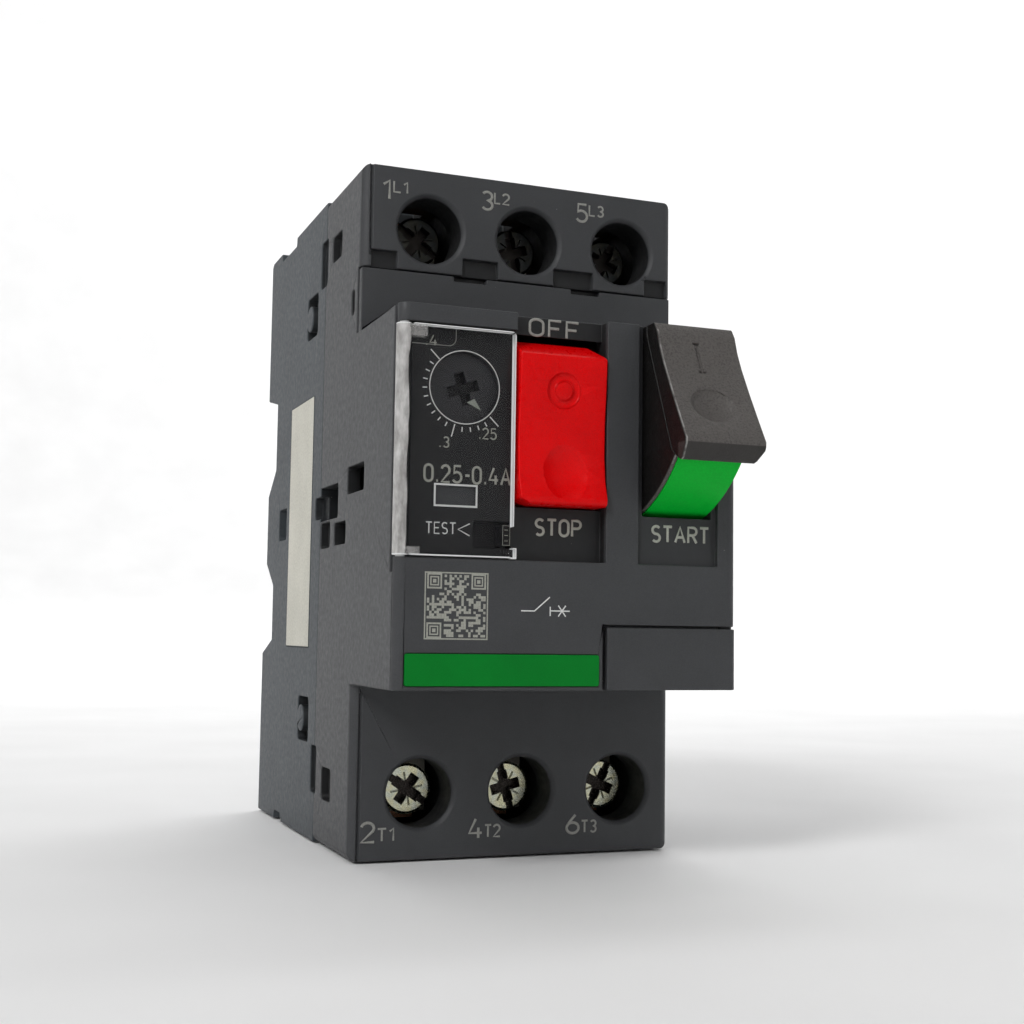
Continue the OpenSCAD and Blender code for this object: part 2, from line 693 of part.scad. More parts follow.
// Insulated heater windings around the three bimetal strips.
module heater_windings() color(fibre) at_home() {
    for (k = [0:2])
        translate([pole_x(k) + 2, 11, 26.5]) difference() {
            union() {
                bar([-0.85, -2.4, 0], [0.85, 2.3, 11]);
                for (i = [0:6])
                    bar([-1.2, -2.7, 0.5 + i * 1.5], [1.2, 2.35, 1.4 + i * 1.5]);
            }
            bar([-0.5, -2.1, -1], [0.5, 2.1, 12]);
        }
}

// ---- Terminals ----

module load_terminal(k) color(copper) at_home() {
    x = pole_x(k);
    bar([x - 3.1, tab_y, 3.6], [x + 3.1, tab_y + tab_t, 13]);
    bar([x - 2.2, tab_y, 13 - eps], [x + 2.2, tab_y + tab_t, 26]);
}

// Combination head screw, held in place while its clamp travels.
module terminal_screw(k, z) color(zinc) at_home() {
    x = pole_x(k);
    difference() {
        union() {
            rod_y(x, z, head_y + 0.3, head_y + head_t, head_r);
            translate([x, head_y, z]) rotate([-90, 0, 0])
                cylinder(h = 0.31, r1 = head_r - 0.35, r2 = head_r, $fn = round_fn);
            rod_y(x, z, head_y + head_t - eps, tab_y - 0.1, shank_r);
        }
        // Straight slot, cross recess and the small marks between its arms.
        translate([x, head_y, z]) rotate([0, 35 + 40 * k, 0]) {
            bar([-4, -1, -0.5], [4, 0.9, 0.5]);
            bar([-2.1, -1, -0.7], [2.1, 1.5, 0.7]);
            bar([-0.7, -1, -2.1], [0.7, 1.5, 2.1]);
            for (a = [45, -45])
                rotate([0, a, 0]) bar([-2.2, -1, -0.15], [2.2, 0.35, 0.15]);
        }
    }
}

// Cage that draws the wire against the terminal bar.
module terminal_clamp(k, z) color(zinc) at_home() {
    x = pole_x(k);
    y1 = tab_y - 0.4;
    y0 = y1 - clamp_wall;
    difference() {
        bar([x - clamp_half, y0, z - clamp_h / 2], [x + clamp_half, wire_back + 1.2, z + clamp_h / 2]);
        bar([x - clamp_half + 0.9, y1, z - clamp_h], [x + clamp_half - 0.9, wire_back, z + clamp_h]);
        rod_y(x, z, y0 - 1, y1 + 1, shank_r + running);
    }
}

// ---- Rail clip ----

module rail_clip() color(black) at_home() {
    difference() {
        union() {
            across(-9, 9) polygon([[51.4, 3.4], [56.4, 3.4], [56.4, 26.4], [54, 29.4], [51.4, 29.4]]);
            bar([-10.5, 52.45, 6], [10.5, 53.55, 24]);
        }
        bar([-2.8, 50, 7.2 - clip_travel], [2.8, 60, 20]);
        // Screwdriver eye.
        bar([3.8, 50, 4.6], [7.6, 60, 6.6]);
    }
}

module rail_clip_spring() color(steel) at_home() {
    translate([0, 53.2, 9.9]) spring(1.7, 0.3, 6, 9.7);
}

rear_base();
main_housing();
front_cover();
blanking_cover();
clear_cover();
side_label();
id_stripe();
setting_dial();
setting_slide();
start_button();
start_flag();
start_pin();
stop_button();
stop_pin();
toggle_lever();
toggle_pin();
latch_lever();
trip_bar();
test_slider();
contact_carrier();
return_springs();
contact_springs();
rail_clip();
rail_clip_spring();
arc_chutes();
magnet_yokes();
heater_windings();
bridge(0);  // bridge_1
bridge(1);  // bridge_2
bridge(2);  // bridge_3
line_contact(0);  // line_contact_1
line_contact(1);  // line_contact_2
line_contact(2);  // line_contact_3
load_contact(0);  // load_contact_1
load_contact(1);  // load_contact_2
load_contact(2);  // load_contact_3
load_terminal(0);  // load_terminal_1
load_terminal(1);  // load_terminal_2
load_terminal(2);  // load_terminal_3
trip_coil(0);  // trip_coil_1
trip_coil(1);  // trip_coil_2
trip_coil(2);  // trip_coil_3
plunger(0);  // plunger_1
plunger(1);  // plunger_2
plunger(2);  // plunger_3
bimetal(0);  // bimetal_1
bimetal(1);  // bimetal_2
bimetal(2);  // bimetal_3
terminal_screw(0, line_z);  // line_screw_1
terminal_screw(1, line_z);  // line_screw_2
terminal_screw(2, line_z);  // line_screw_3
terminal_screw(0, load_z);  // load_screw_1
terminal_screw(1, load_z);  // load_screw_2
terminal_screw(2, load_z);  // load_screw_3
terminal_clamp(0, line_z);  // line_clamp_1
terminal_clamp(1, line_z);  // line_clamp_2
terminal_clamp(2, line_z);  // line_clamp_3
terminal_clamp(0, load_z);  // load_clamp_1
terminal_clamp(1, load_z);  // load_clamp_2
terminal_clamp(2, load_z);  // load_clamp_3
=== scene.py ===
import math
import random

import bmesh
import bpy
from mathutils import Matrix, Vector


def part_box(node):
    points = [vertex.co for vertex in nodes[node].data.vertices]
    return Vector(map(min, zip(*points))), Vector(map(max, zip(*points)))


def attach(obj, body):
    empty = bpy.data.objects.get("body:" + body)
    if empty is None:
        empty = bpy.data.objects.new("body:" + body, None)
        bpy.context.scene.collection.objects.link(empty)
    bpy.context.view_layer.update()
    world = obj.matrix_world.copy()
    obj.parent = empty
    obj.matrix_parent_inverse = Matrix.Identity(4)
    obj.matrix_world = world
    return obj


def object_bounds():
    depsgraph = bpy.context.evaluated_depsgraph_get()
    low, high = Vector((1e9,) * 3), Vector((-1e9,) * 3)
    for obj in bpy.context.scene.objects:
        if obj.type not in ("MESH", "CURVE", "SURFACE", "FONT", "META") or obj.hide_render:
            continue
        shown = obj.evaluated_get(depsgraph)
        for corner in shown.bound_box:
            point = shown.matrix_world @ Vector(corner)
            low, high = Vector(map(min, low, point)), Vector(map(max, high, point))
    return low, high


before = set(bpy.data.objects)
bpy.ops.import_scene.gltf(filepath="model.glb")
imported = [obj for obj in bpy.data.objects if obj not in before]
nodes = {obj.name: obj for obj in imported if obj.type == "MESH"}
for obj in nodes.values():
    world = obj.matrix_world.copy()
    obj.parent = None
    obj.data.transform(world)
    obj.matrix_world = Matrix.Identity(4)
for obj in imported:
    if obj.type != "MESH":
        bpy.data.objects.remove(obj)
cad_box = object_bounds()

MM = 0.001
BACK_Y = 57  # depth of the base's back face behind the terminal faces, in millimetres
base_lo, base_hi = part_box("rear_base")
mid_x = (base_lo.x + base_hi.x) / 2


def at(x, y, z):
    """A point given in millimetres from the body's bottom front centre: right, back, up."""
    return Vector((mid_x + x * MM, base_hi.y + (y - BACK_Y) * MM, base_lo.z + z * MM))


ORIGIN = at(0, 0, 0)
# Depths of the flat faces that carry print, in millimetres.
TERMINAL_FACE, FRONT, STOP_FLOOR, START_FLOOR, DIAL_PLATE = 0.0, -18.25, -16.45, -17.65, -16.6
SLIDER_FACE = -16.97


# ---- Materials ----


class Shader:
    """A node tree with a Principled shader, and short ways to add nodes that read the object's own millimetres."""

    def __init__(self, name):
        self.mat = bpy.data.materials.new(name)
        self.mat.use_nodes = True
        self.tree = self.mat.node_tree
        self.tree.nodes.clear()
        out = self.add("ShaderNodeOutputMaterial")
        self.bsdf = self.add("ShaderNodeBsdfPrincipled")
        self.join(self.bsdf.outputs[0], out.inputs[0])
        coords = self.add("ShaderNodeTexCoord")
        place = self.add("ShaderNodeMapping")
        place.inputs["Scale"].default_value = (1000, 1000, 1000)
        place.inputs["Location"].default_value = tuple(-1000 * c for c in ORIGIN)
        self.join(coords.outputs["Object"], place.inputs["Vector"])
        self.mm = place.outputs[0]

    def add(self, kind, **settings):
        node = self.tree.nodes.new(kind)
        for key, value in settings.items():
            setattr(node, key, value)
        return node

    def join(self, a, b):
        self.tree.links.new(a, b)

    def put(self, value, socket):
        if isinstance(value, bpy.types.NodeSocket):
            self.join(value, socket)
        else:
            socket.default_value = value

    def math(self, op, a, b=0.0):
        node = self.add("ShaderNodeMath", operation=op)
        self.put(a, node.inputs[0])
        self.put(b, node.inputs[1])
        return node.outputs[0]

    def stretch(self, scale):
        node = self.add("ShaderNodeMapping")
        node.inputs["Scale"].default_value = scale
        self.join(self.mm, node.inputs["Vector"])
        return node.outputs[0]

    def noise(self, scale, detail=3.0, rough=0.55, vector=None):
        node = self.add("ShaderNodeTexNoise")
        node.inputs["Scale"].default_value = scale
        node.inputs["Detail"].default_value = detail
        node.inputs["Roughness"].default_value = rough
        self.join(vector or self.mm, node.inputs["Vector"])
        return node.outputs[0]

    def cells(self, scale):
        node = self.add("ShaderNodeTexVoronoi")
        node.inputs["Scale"].default_value = scale
        self.join(self.mm, node.inputs["Vector"])
        return node.outputs["Distance"]

    def span(self, value, low, high, to_low=0.0, to_high=1.0):
        node = self.add("ShaderNodeMapRange")
        self.join(value, node.inputs["Value"])
        for key, v in zip(("From Min", "From Max", "To Min", "To Max"), (low, high, to_low, to_high)):
            node.inputs[key].default_value = v
        return node.outputs[0]

    def blend(self, factor, a, b):
        node = self.add("ShaderNodeMix", data_type="RGBA")
        self.put(factor, node.inputs["Factor"])
        for value, socket in ((a, node.inputs[6]), (b, node.inputs[7])):
            self.put(value if isinstance(value, bpy.types.NodeSocket) else (*value, 1.0), socket)
        return node.outputs[2]

    def axes(self):
        node = self.add("ShaderNodeSeparateXYZ")
        self.join(self.mm, node.inputs[0])
        return node.outputs

    def inside(self, low, high, soft=0.05):
        """1 inside a box given by two corners in millimetres, 0 outside."""
        total = None
        for axis, lo, hi in zip(self.axes(), low, high):
            above, below = self.span(axis, lo - soft, lo + soft), self.span(axis, hi + soft, hi - soft)
            one = self.math("MULTIPLY", above, below)
            total = one if total is None else self.math("MULTIPLY", total, one)
        return total

    def bump(self, height, strength, distance):
        node = self.add("ShaderNodeBump")
        node.inputs["Strength"].default_value = strength
        node.inputs["Distance"].default_value = distance * MM
        self.join(height, node.inputs["Height"])
        self.join(node.outputs[0], self.bsdf.inputs["Normal"])

    def finish(self, **values):
        for key, value in values.items():
            self.put(value, self.bsdf.inputs[key.replace("_", " ")])
        return self.mat


def srgb(r, g, b):
    return tuple(((c / 255 + 0.055) / 1.055) ** 2.4 if c > 10 else c / 255 / 12.92 for c in (r, g, b))


def scaled(color, k):
    return tuple(c * k for c in color)


def plastic(
    name, color, rough=0.5, grain=7.0, depth=0.02, fleck=0.5, tone_and_shade_zones=(), shine=0.35, mottle=0.45, light_bands=()
):
    """Moulded plastic: eroded skin, faint cloudiness, dust flecks, darker boxes that are mostly painted shade,
    lighter patchy bands in listed boxes.
    """
    s = Shader(name)
    skin = s.noise(grain, 4.0, 0.7)
    cloud = s.noise(0.12, 3.0)
    base = s.blend(s.span(cloud, 0.3, 0.7), scaled(color, 0.9), scaled(color, 1.1))
    base = s.blend(s.span(skin, 0.35, 0.7, 0.0, mottle), base, scaled(color, 1.7))
    # Painted shade: each listed box darkens the colour by its gain; the START flank box also stands for black
    # plastic.
    for low, high, gain in tone_and_shade_zones:
        base = s.blend(s.inside(low, high), base, scaled(color, gain))
    # A lighter, patchy band of colour in each listed box.
    for low, high in light_bands:
        light_band = s.math("MULTIPLY", s.inside(low, high), s.span(s.noise(0.9), 0.35, 0.6))
        base = s.blend(light_band, base, (0.32, 0.31, 0.3))
    dust = s.span(s.cells(0.55), 0.035, 0.02)
    dust = s.math("MULTIPLY", dust, s.span(s.noise(0.35), 0.52, 0.6, 0.0, fleck))
    base = s.blend(dust, base, (0.45, 0.44, 0.42))
    s.bump(s.math("ADD", skin, s.math("MULTIPLY", dust, 0.5)), 0.55, depth)
    roughness = s.span(s.noise(1.3, 3.0), 0.3, 0.7, rough - 0.07, rough + 0.08)
    return s.finish(Base_Color=base, Roughness=roughness, Specular_IOR_Level=shine)


def metal(name, color, rough=0.3, tarnish=0.6, recess=None):
    """Bright metal with fine lines and stains; behind the depth named recess the colour is painted near-black,
    painted shade in the screw's cross recess.
    """
    s = Shader(name)
    lines = s.noise(5.0, 4.0, 0.6)
    stain = s.noise(0.6, 4.0)
    base = s.blend(s.span(stain, 0.42, 0.72), color, scaled(color, tarnish))
    base = s.blend(s.span(lines, 0.4, 0.7, 0.0, 0.3), base, scaled(color, 1.25))
    if recess:
        warm, cool = (scaled(c, color[0] / 0.6) for c in ((0.75, 0.72, 0.42), (0.5, 0.62, 0.66)))
        tint = s.blend(s.span(s.noise(0.9, 2.0), 0.4, 0.6), warm, cool)
        base = s.blend(0.3, base, tint)
        # Painted shade: deeper than the head's face the colour goes near-black.
        deep = s.span(s.axes()[1], recess + 0.12, recess + 0.5)
        base = s.blend(deep, base, (0.025, 0.022, 0.02))
    s.bump(lines, 0.3, 0.02)
    return s.finish(Base_Color=base, Metallic=1.0, Roughness=s.span(lines, 0.3, 0.7, rough - 0.08, rough + 0.12))


def ink(name, color, wear=0.25):
    s = Shader(name)
    patch = s.noise(6.0, 3.0)
    base = s.blend(s.span(patch, 0.35, 0.75, 0.0, 1.0), color, scaled(color, 1 - wear))
    return s.finish(Base_Color=base, Roughness=s.span(patch, 0.3, 0.7, 0.45, 0.6))


def clear(name):
    """Clear moulded plastic: white bands of painted highlight along the cut edges, a frosted hinge flange and smoky
    left corners.
    """
    s = Shader(name)
    wave = s.span(s.noise(0.5, 2.0, 0.5, s.stretch((1, 1, 0.3))), 0.3, 0.7, -0.22, 0.22)
    x, y, z = s.axes()
    flange = s.span(s.math("ADD", x, wave), -21.05, -21.2)
    lower, upper = s.inside((-24, -30, 36), (-19.4, -10, 38.5), 0.1), s.inside((-24, -30, 63), (-18.9, -10, 66), 0.1)
    smoke = s.math("MAXIMUM", lower, upper)
    pane = s.inside((-24, -30, 37.66), (-7.96, -10, 64.42), 0.03)
    tab = s.inside((-8.3, -30, 37.6), (-7.62, -10, 38.55), 0.03)
    # rim: the flap's edges as nearly opaque white bands, painted highlight.
    rim = s.math("SUBTRACT", 1.0, s.math("MAXIMUM", pane, tab))
    grain = s.noise(6.0, 4.0, 0.7)
    cloud = s.noise(0.9, 3.0, 0.6, s.stretch((1, 1, 0.4)))
    veil = s.span(grain, 0.35, 0.7, 0.25, 0.55)
    alpha = s.math("MAXIMUM", s.math("MULTIPLY", smoke, veil), 0.07)
    alpha = s.math("MAXIMUM", alpha, s.math("MULTIPLY", flange, s.span(cloud, 0.3, 0.7, 0.72, 0.95)))
    alpha = s.math("MAXIMUM", alpha, s.math("MULTIPLY", rim, 0.85))
    milky = s.blend(s.span(cloud, 0.35, 0.7), (0.36, 0.35, 0.34), (0.62, 0.61, 0.6))
    base = s.blend(s.math("MAXIMUM", flange, smoke), (0.05, 0.05, 0.055), milky)
    # The painted highlight colour along the edges.
    base = s.blend(rim, base, (0.95, 0.96, 0.96))
    return s.finish(Base_Color=base, Roughness=s.span(flange, 0.0, 1.0, 0.05, 0.5), Alpha=alpha)


DIAL_FRONT = (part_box("setting_dial")[0].y - ORIGIN.y) / MM
GREY = srgb(57, 58, 60)
BLUE_GREY = srgb(56, 61, 65)
SCREW_FACE = (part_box("load_screw_1")[0].y - ORIGIN.y) / MM
# Painted shade on the front cover under the clear flap and in the TEST slot.
dial_shade_zone = ((-21.4, -19, 37.2), (-7.55, -16.3, 64.85), 0.2)
# Painted shade on the STOP recess floor.
stop_shade_zone = ((-7.6, -17.6, 37.2), (4.25, -10, 66.9), 0.3)
# Painted shade on the START recess floor.
start_shade_zone = ((8.5, -18.1, 37.2), (19.55, -10, 66.9), 0.7)
# The START cap's left flank: black plastic, with painted shade from its pocket.
flank_black_and_shade_zone = ((9, -40, 35), (9.5, 0, 70), 0.06)
# Painted shade on the START cap's lower lip.
lip_shade_zone = ((9, -40, 47), (21, -26.9, 51.3), 0.5)
# A lighter patchy band along the START cap's left edge.
cap_edge_band = ((9.53, -40, 49), (9.72, -20.5, 66))
# Painted shade in the dial's cross slot, deeper than its face.
slot_shade_zone = ((-20, DIAL_FRONT + 0.2, 50), (-8, DIAL_FRONT + 9, 66), 0.08)
# Painted shade inside the housing's and base's pockets, holes and interior.
deep_shade_zone = ((-22.1, 0.7, 1.3), (22.1, 44, 88.6), 0.3)
looks = {
    "grey": plastic("grey_housing", GREY, 0.5, tone_and_shade_zones=(deep_shade_zone,)),
    "front": plastic("front_grey", GREY, 0.5, tone_and_shade_zones=(dial_shade_zone, stop_shade_zone, start_shade_zone)),
    "base": plastic("base_grey", BLUE_GREY, 0.52, tone_and_shade_zones=(deep_shade_zone,)),
    "dial": plastic("dial_face", srgb(40, 40, 42), 0.4, grain=6.0, depth=0.02, tone_and_shade_zones=(slot_shade_zone,)),
    "black": plastic("black_part", srgb(22, 22, 23), 0.42, shine=0.25),
    "cap": plastic(
        "start_cap", srgb(70, 67, 65), 0.5, grain=3.8, depth=0.14, fleck=0.2, tone_and_shade_zones=(flank_black_and_shade_zone, lip_shade_zone),
        mottle=1.8, light_bands=(cap_edge_band,),
    ),
    "red": plastic("red_button", (0.66, 0.0008, 0.002), 0.3, grain=8.0, depth=0.006, fleck=0.35, shine=0.14),
    "green": plastic("green_flag", (0.001, 0.42, 0.03), 0.42, grain=6.0, depth=0.01, fleck=0.1, shine=0.1),
    "stripe": plastic("green_stripe", (0.001, 0.17, 0.018), 0.4, grain=9.0, depth=0.008, fleck=0.1, shine=0.1),
    "ivory": plastic("ivory_part", srgb(206, 200, 180), 0.45, depth=0.01, fleck=0.1),
    "label": plastic("paper_label", srgb(190, 188, 177), 0.6, grain=3.0, depth=0.01, fleck=0.15),
    "fibre": plastic("fibre_board", srgb(150, 112, 70), 0.7, grain=3.0, depth=0.04, fleck=0.0),
    "zinc": metal("zinc_clamp", (0.42, 0.41, 0.36), 0.35),
    "load_zinc": metal("load_screw_zinc", (0.62, 0.60, 0.44), 0.25, recess=SCREW_FACE),
    # The line screws are the same zinc as the load screws, painted near-black: painted shade of their terminal
    # chambers.
    "shaded_zinc": metal("shaded_line_screw_zinc", (0.04, 0.04, 0.038), 0.35, recess=SCREW_FACE),
    "steel": metal("steel_part", (0.56, 0.56, 0.57), 0.32),
    "copper": metal("copper_part", (0.72, 0.38, 0.22), 0.3),
    "brass": metal("brass_part", (0.75, 0.58, 0.28), 0.3),
    "clear": clear("clear_flap"),
    "print": ink("pale_print", srgb(165, 166, 156)),
    "relief": ink("relief_print", srgb(150, 150, 144), 0.3),
    "white": ink("white_line", srgb(225, 226, 224), 0.15),
    "arrow": ink("dial_arrow", srgb(150, 156, 146), 0.35),
}

# ---- The CAD pieces ----

NODE_LOOK = {
    "rear_base": "base",
    "main_housing": "grey",
    "front_cover": "front",
    "blanking_cover": "grey",
    "clear_cover": "clear",
    "side_label": "label",
    "id_stripe": "stripe",
    "start_button": "cap",
    "start_flag": "green",
    "stop_button": "red",
    "trip_bar": "ivory",
    "arc_chutes": "fibre",
    "heater_windings": "fibre",
    "setting_dial": "dial",
    "setting_slide": "black",
    "test_slider": "black",
    "contact_carrier": "black",
    "rail_clip": "black",
}
STEM_LOOK = {
    "bridge": "copper",
    "line_contact": "copper",
    "load_contact": "copper",
    "load_terminal": "copper",
    "trip_coil": "copper",
    "bimetal": "brass",
    "plunger": "steel",
    "line_screw": "shaded_zinc",
    "load_screw": "load_zinc",
    "line_clamp": "zinc",
    "load_clamp": "zinc",
}
SOFT_EDGE = {
    "rear_base": 0.16,
    "main_housing": 0.16,
    "front_cover": 0.13,
    "blanking_cover": 0.12,
    "start_button": 0.12,
    "stop_button": 0.2,
    "clear_cover": 0.07,
    "setting_dial": 0.08,
    "rail_clip": 0.2,
    "test_slider": 0.05,
    "start_flag": 0.05,
}


def soften(obj, width, angle=28):
    """Joins the CAD triangles at their seams and rounds every edge sharper than the angle a little."""
    obj.data.normals_split_custom_set([(0, 0, 0)] * len(obj.data.loops))
    obj.data.polygons.foreach_set("use_smooth", [True] * len(obj.data.polygons))
    weld = obj.modifiers.new("weld", "WELD")
    weld.merge_threshold = 0.002 * MM
    bevel = obj.modifiers.new("bevel", "BEVEL")
    bevel.width = width * MM
    bevel.segments = 2
    bevel.limit_method = "ANGLE"
    bevel.angle_limit = math.radians(angle)
    bevel.use_clamp_overlap = False
    bevel.loop_slide = False
    bevel.miter_outer = "MITER_ARC" if angle < 40 else "MITER_SHARP"
    normals = obj.modifiers.new("normals", "WEIGHTED_NORMAL")
    normals.keep_sharp = True
    normals.weight = 60


for name, obj in nodes.items():
    look = NODE_LOOK.get(name) or STEM_LOOK.get(name.rstrip("_123")) or "steel"
    obj.data.materials.clear()
    obj.data.materials.append(looks[look])
    if name in SOFT_EDGE:
        soften(obj, SOFT_EDGE[name], 46 if name in ("start_button", "stop_button") else 28)

# ---- Lettering: strokes on a grid 6 units high ----


def arc(cx, cz, r, a0, a1, n=12, squash=1.0):
    steps = [math.radians(a0 + (a1 - a0) * i / n) for i in range(n + 1)]
    return [(cx + r * math.cos(a), cz + r * squash * math.sin(a)) for a in steps]


OVAL = arc(1.7, 4.3, 1.7, 0, 180) + arc(1.7, 1.7, 1.7, 180, 360) + [(3.4, 4.3)]
BOWL = [(0, 0), (0, 6), (1.9, 6)] + arc(1.9, 4.5, 1.5, 90, -90) + [(0, 3)]
GLYPHS = {
    "0": [OVAL],
    "O": [OVAL],
    "1": [[(0, 4.6), (1.5, 6), (1.5, 0)]],
    "2": [arc(1.7, 4.3, 1.7, 165, -38) + [(0, 0), (3.5, 0)]],
    "3": [arc(1.7, 4.55, 1.45, 150, -90) + arc(1.7, 1.55, 1.55, 90, -150)],
    "4": [[(1.9, 6), (0, 1.6), (3.7, 1.6)], [(2.7, 3.3), (2.7, 0)]],
    "5": [[(3.2, 6), (0.5, 6), (0.3, 3.3)] + arc(1.6, 1.9, 1.9, 120, -150)],
    "6": [arc(1.7, 1.8, 1.75, 0, 360, 20), [(2.5, 6), (0.9, 3.9), (0.1, 2.4)]],
    "L": [[(0, 6), (0, 0), (2.9, 0)]],
    "T": [[(0, 6), (3.4, 6)], [(1.7, 6), (1.7, 0)]],
    "S": [arc(1.6, 4.5, 1.5, 35, 270) + arc(1.6, 1.5, 1.5, 90, -145)],
    "F": [[(3, 6), (0, 6), (0, 0)], [(0, 3.1), (2.5, 3.1)]],
    "P": [BOWL],
    "R": [BOWL, [(1.7, 3), (3.4, 0)]],
    "A": [[(0, 0), (1.9, 6), (3.8, 0)], [(0.65, 2), (3.15, 2)]],
    "E": [[(3, 6), (0, 6), (0, 0), (3, 0)], [(0, 3.1), (2.6, 3.1)]],
    "-": [[(0.2, 2.7), (2, 2.7)]],
    ".": [[(0.1, 0.3), (0.8, 0.3)]],
    "<": [[(3.4, 5.6), (0, 3), (3.4, 0.4)]],
}


def strokes(name, lines, y, width, look, body, lift=0.35):
    """One raised or printed drawing on a level of constant depth: lines are lists of (x, z) millimetres."""
    curve = bpy.data.curves.new(name, "CURVE")
    curve.dimensions = "3D"
    curve.bevel_depth = width / 2 * MM
    curve.bevel_resolution = 2
    curve.use_fill_caps = True
    for line in lines:
        closed = len(line) > 3 and math.dist(line[0], line[-1]) < 1e-6
        points = line[:-1] if closed else line
        spline = curve.splines.new("POLY")
        spline.points.add(len(points) - 1)
        for point, (x, z) in zip(spline.points, points):
            point.co = (x * MM, 0, z * MM, 1)
        spline.use_cyclic_u = closed
    curve.materials.append(looks[look])
    obj = bpy.data.objects.new(name, curve)
    bpy.context.scene.collection.objects.link(obj)
    obj.location = at(0, y, 0)
    obj.scale = (1, lift, 1)
    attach(obj, body)
    return obj


def words(name, text, x0, x1, z0, z1, y, width, look="print", body="housing", lift=0.35, gap=1.5):
    """Text that fills a box given in millimetres."""
    placed, pen = [], 0.0
    for letter in text:
        glyph = GLYPHS[letter]
        placed += [[(x + pen, z) for x, z in line] for line in glyph]
        pen += max(x for line in glyph for x, z in line) + gap
    pen -= gap
    kx, kz = (x1 - x0) / pen, (z1 - z0) / 6
    lines = [[(x0 + x * kx, z0 + z * kz) for x, z in line] for line in placed]
    return strokes(name, lines, y, width, look, body, lift)


# Terminal numbers: a tall digit and a smaller pair behind it.
for k, (big, x0, z0) in enumerate((("1", -19.5, 84.6), ("3", -6.0, 84.8), ("5", 7.8, 84.8))):
    digit_w, pole_x, pole_end = (0.8, 1.4, 3.2) if k == 0 else (1.5, 1.85, 3.9)
    words(f"line_mark_{k + 1}", big, x0, x0 + digit_w, z0, z0 + 2.4, TERMINAL_FACE, 0.36, "relief")
    x1, x2 = x0 + pole_x, x0 + pole_end
    words(f"line_pole_{k + 1}", f"L{k + 1}", x1, x2, z0 + 1, z0 + 2.4, TERMINAL_FACE, 0.26, "relief")
for k, (big, x0, z0) in enumerate((("2", -20.6, 2.4), ("4", -6.3, 2.4), ("6", 7.3, 2.5))):
    words(f"load_mark_{k + 1}", big, x0, x0 + 1.7, z0, z0 + 2.4, TERMINAL_FACE, 0.36, "relief")
    words(f"load_pole_{k + 1}", f"T{k + 1}", x0 + 2.15, x0 + 4.2, z0 + 0.1, z0 + 1.6, TERMINAL_FACE, 0.26, "relief")

words("off_word", "OFF", -5.4, 1.0, 64.75, 66.75, STOP_FLOOR, 0.34, "relief")
words("stop_word", "STOP", -4.3, 1.6, 40.5, 42.4, STOP_FLOOR, 0.34, "print")
words("start_word", "START", 10.7, 18.5, 40.2, 42.1, START_FLOOR, 0.34, "print")
words("rating_text", "0.25-0.4A", -18.45, -7.75, 46.3, 48.25, DIAL_PLATE, 0.3, "print", lift=0.15)
words("test_word", "TEST", -18.15, -14.5, 40.2, 41.5, DIAL_PLATE, 0.15, "white", lift=0.15)
words("test_arrow", "<", -14.2, -12.75, 39.95, 41.6, DIAL_PLATE, 0.15, "white", lift=0.15)

# ---- Dial scale ----

dial_lo, dial_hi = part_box("setting_dial")
DIAL_X = ((dial_lo.x + dial_hi.x) / 2 - ORIGIN.x) / MM
DIAL_Z = ((dial_lo.z + dial_hi.z) / 2 - ORIGIN.z) / MM


def around(angle, r):
    """A point beside the dial; angles run anticlockwise from the right, as seen from the front."""
    a = math.radians(angle)
    return (DIAL_X + r * math.cos(a), DIAL_Z + r * math.sin(a))


def fine(name, lines, width=0.14, look="white", body="housing", y=DIAL_PLATE):
    return strokes(name, lines, y, width, look, body, 0.15)


# A thin white ring round the dial: painted highlight on the dial hole's rim edge.
fine("dial_rim_highlight", [arc(DIAL_X, DIAL_Z + 0.08, 4.38, 0, 360, 60)], 0.12)
marks = [[around(a, 4.55), around(a, 6.1)] for a in (135, -105, -45)]
short_marks = [-57 - 12 * i for i in range(4)] + [-117 - 12 * i for i in range(9)]
marks += [[around(a, 4.7), around(a, 5.25)] for a in short_marks]
fine("dial_scale", marks)
words("dial_high", ".4", -18.6, -17.25, 62.4, 63.6, DIAL_PLATE, 0.18, "print", lift=0.15)
words("dial_mid", ".3", -16.7, -15.55, 50.4, 51.6, DIAL_PLATE, 0.18, "print", lift=0.15)
words("dial_low", ".25", -11.75, -9.6, 51.7, 52.95, DIAL_PLATE, 0.18, "print", lift=0.15)
corner = arc(-15.75, 63.4, 0.9, 270, 360, 8)
fine("relief_line", [[(-20.3, 62.5)] + corner + [(-14.85, 64.7)]], 0.1, "relief")
fine("window_frame", [[(-17.15, 43.5), (-11.95, 43.5), (-11.95, 46.0), (-17.15, 46.0), (-17.15, 43.5)]], 0.34)
slider_lines = [[(-8.72, 39.08), (-7.82, 39.08), (-7.82, 41.42), (-8.72, 41.42), (-8.72, 39.08)]]
slider_lines += [[(-8.5, z), (-8.05, z)] for z in (39.6, 40.25, 40.9)]
fine("slider_ribs", slider_lines, 0.07, "print", "test", SLIDER_FACE)


def plate(name, faces, y, look, body):
    """Flat printed pieces at one depth: each face is a list of (x, z) millimetres."""
    bm = bmesh.new()
    for face in faces:
        bm.faces.new([bm.verts.new(at(x, y, z)) for x, z in face])
    mesh = bpy.data.meshes.new(name)
    bm.to_mesh(mesh)
    bm.free()
    mesh.materials.append(looks[look])
    obj = bpy.data.objects.new(name, mesh)
    bpy.context.scene.collection.objects.link(obj)
    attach(obj, body)


arrow = [(DIAL_X + 2.3, DIAL_Z - 2.45), (DIAL_X + 1.45, DIAL_Z - 1.1), (DIAL_X + 0.5, DIAL_Z - 1.6)]
plate("arrow_mark", [arrow], DIAL_FRONT - 0.03, "arrow", "dial")

